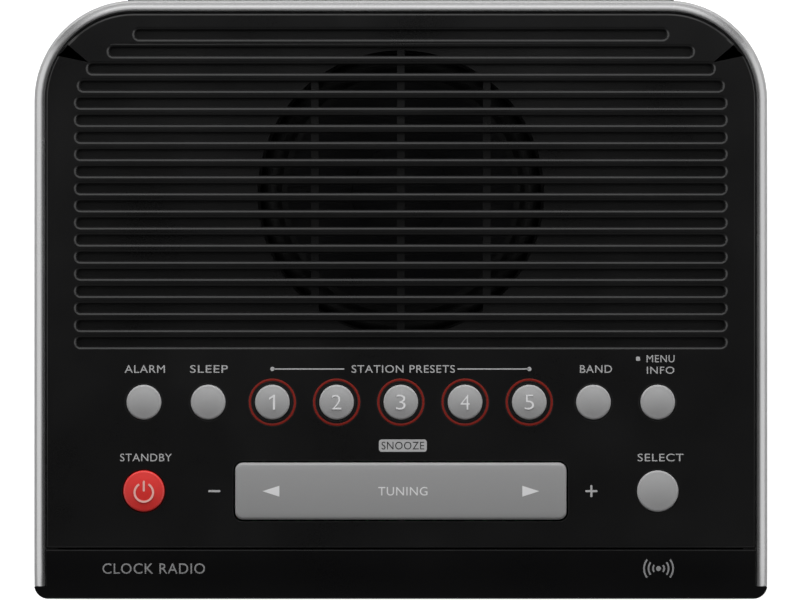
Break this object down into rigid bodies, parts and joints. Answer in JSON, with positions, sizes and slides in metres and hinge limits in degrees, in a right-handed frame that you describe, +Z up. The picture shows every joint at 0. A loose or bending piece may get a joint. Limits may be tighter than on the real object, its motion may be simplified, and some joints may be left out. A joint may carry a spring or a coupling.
{
  "type": "tabletop radio",
  "caption": "Low black bedside radio with a silver side band, louvred speaker grille, round keys and a tuning bar on top, a wide display in front and sockets behind.",
  "frame": {"origin": "middle of the footprint, on the surface that the four rubber feet stand on", "axes": "+Z up, +Y towards the rear plate with the sockets, -Y towards the display, +X along the width to the side with the volume wheel"},
  "size_m": [0.179, 0.1468, 0.073],
  "materials": {
    "panel_black": "satin",
    "cover_black": "matte",
    "silver_paint": "satin",
    "gloss_black": "gloss",
    "smoked_lens": "polished",
    "rear_black": "matte",
    "rubber_black": "matte",
    "key_grey": "satin",
    "key_red": "satin",
    "rocker_grey": "satin",
    "ring_red": "satin",
    "steel": "satin",
    "screw_zinc": "satin",
    "screw_black": "satin",
    "board_green": "satin",
    "switch_black": "matte",
    "ribbon_white": "satin",
    "basket_paint": "satin",
    "gasket_foam": "matte",
    "zinc_plate": "satin",
    "ferrite": "matte",
    "cone_paper": "matte",
    "coil_copper": "satin",
    "surround_rubber": "matte",
    "spider_cloth": "matte",
    "terminal_brown": "matte",
    "wire_red_black": "satin",
    "wheel_black": "satin",
    "pot_body": "satin",
    "tin_can": "satin",
    "heatsink": "satin",
    "capacitor_sleeve": "gloss",
    "chip_black": "matte",
    "header_ivory": "satin",
    "lcd_glass": "polished",
    "lcd_white": "matte",
    "diffuser_white": "satin",
    "socket_black": "satin",
    "socket_green": "satin",
    "socket_blue": "satin"
  },
  "bodies": {
    "cabinet": {"bottom_cover": "cover_black", "side_band": "silver_paint", "top_panel": "panel_black", "front_bezel": "gloss_black", "display_lens": "smoked_lens", "rear_plate": "rear_black", "rubber_feet": "rubber_black", "rocker_pin": "steel", "preset_rings": "ring_red", "key_board": "board_green", "key_switches": "switch_black", "ribbon_cables": "ribbon_white", "speaker_basket": "basket_paint", "speaker_gasket": "gasket_foam", "speaker_front_plate": "zinc_plate", "speaker_magnet": "ferrite", "speaker_yoke": "zinc_plate", "speaker_terminals": "terminal_brown", "speaker_leads": "wire_red_black", "volume_pot": "pot_body", "volume_board": "board_green", "main_board": "board_green", "tuner_module": "tin_can", "amplifier_heatsink": "heatsink", "smoothing_capacitors": "capacitor_sleeve", "control_chip": "chip_black", "board_connectors": "header_ivory", "lcd_glass": "lcd_glass", "lcd_frame": "lcd_white", "backlight_diffuser": "diffuser_white", "lcd_board": "board_green", "socket_board": "board_green", "dc_socket": "socket_black", "headphone_socket": "socket_green", "line_in_socket": "socket_blue", "antenna_gland": "rubber_black", "cabinet_screws": "screw_zinc", "bezel_and_rear_screws": "screw_black", "board_screws": "screw_zinc", "speaker_screws": "screw_zinc"},
    "alarm_key": {"alarm_key": "key_grey"},
    "sleep_key": {"sleep_key": "key_grey"},
    "preset_key_1": {"preset_key_1": "key_grey"},
    "preset_key_2": {"preset_key_2": "key_grey"},
    "preset_key_3": {"preset_key_3": "key_grey"},
    "preset_key_4": {"preset_key_4": "key_grey"},
    "preset_key_5": {"preset_key_5": "key_grey"},
    "band_key": {"band_key": "key_grey"},
    "menu_key": {"menu_key": "key_grey"},
    "standby_key": {"standby_key": "key_red"},
    "select_key": {"select_key": "key_grey"},
    "tuning_rocker": {"tuning_rocker": "rocker_grey"},
    "volume_wheel": {"volume_wheel": "wheel_black", "volume_shaft": "steel"},
    "speaker_cone": {"speaker_cone": "cone_paper", "dust_cap": "cone_paper", "voice_coil": "coil_copper", "speaker_surround": "surround_rubber", "speaker_spider": "spider_cloth"}
  },
  "joints": [
    {"name": "alarm_press", "type": "slide", "parent": "cabinet", "child": "alarm_key", "axis": [0, 0, -1], "range_m": [0, 0.001], "stiffness_N_per_m": 800, "springref_m": -0.0005},
    {"name": "sleep_press", "type": "slide", "parent": "cabinet", "child": "sleep_key", "axis": [0, 0, -1], "range_m": [0, 0.001], "stiffness_N_per_m": 800, "springref_m": -0.0005},
    {"name": "preset_1_press", "type": "slide", "parent": "cabinet", "child": "preset_key_1", "axis": [0, 0, -1], "range_m": [0, 0.001], "stiffness_N_per_m": 800, "springref_m": -0.0005},
    {"name": "preset_2_press", "type": "slide", "parent": "cabinet", "child": "preset_key_2", "axis": [0, 0, -1], "range_m": [0, 0.001], "stiffness_N_per_m": 800, "springref_m": -0.0005},
    {"name": "preset_3_press", "type": "slide", "parent": "cabinet", "child": "preset_key_3", "axis": [0, 0, -1], "range_m": [0, 0.001], "stiffness_N_per_m": 800, "springref_m": -0.0005},
    {"name": "preset_4_press", "type": "slide", "parent": "cabinet", "child": "preset_key_4", "axis": [0, 0, -1], "range_m": [0, 0.001], "stiffness_N_per_m": 800, "springref_m": -0.0005},
    {"name": "preset_5_press", "type": "slide", "parent": "cabinet", "child": "preset_key_5", "axis": [0, 0, -1], "range_m": [0, 0.001], "stiffness_N_per_m": 800, "springref_m": -0.0005},
    {"name": "band_press", "type": "slide", "parent": "cabinet", "child": "band_key", "axis": [0, 0, -1], "range_m": [0, 0.001], "stiffness_N_per_m": 800, "springref_m": -0.0005},
    {"name": "menu_press", "type": "slide", "parent": "cabinet", "child": "menu_key", "axis": [0, 0, -1], "range_m": [0, 0.001], "stiffness_N_per_m": 800, "springref_m": -0.0005},
    {"name": "standby_press", "type": "slide", "parent": "cabinet", "child": "standby_key", "axis": [0, 0, -1], "range_m": [0, 0.001], "stiffness_N_per_m": 800, "springref_m": -0.0005},
    {"name": "select_press", "type": "slide", "parent": "cabinet", "child": "select_key", "axis": [0, 0, -1], "range_m": [0, 0.001], "stiffness_N_per_m": 800, "springref_m": -0.0005},
    {"name": "tuning_rock", "type": "hinge", "parent": "cabinet", "child": "tuning_rocker", "pos_m": [0, -0.047, 0.0656], "axis": [0, 1, 0], "range_deg": [-1.9, 1.9], "stiffness_Nm_per_rad": 1.25},
    {"name": "volume_turn", "type": "hinge", "parent": "cabinet", "child": "volume_wheel", "pos_m": [0.0772, -0.02, 0.042], "axis": [0, 0, 1], "range_deg": [-140, 140]},
    {"name": "cone_travel", "type": "slide", "parent": "cabinet", "child": "speaker_cone", "axis": [0, 0, 1], "range_m": [-0.0015, 0.0015], "stiffness_N_per_m": 1000, "deforming": ["speaker_surround", "speaker_spider"]}
  ]
}
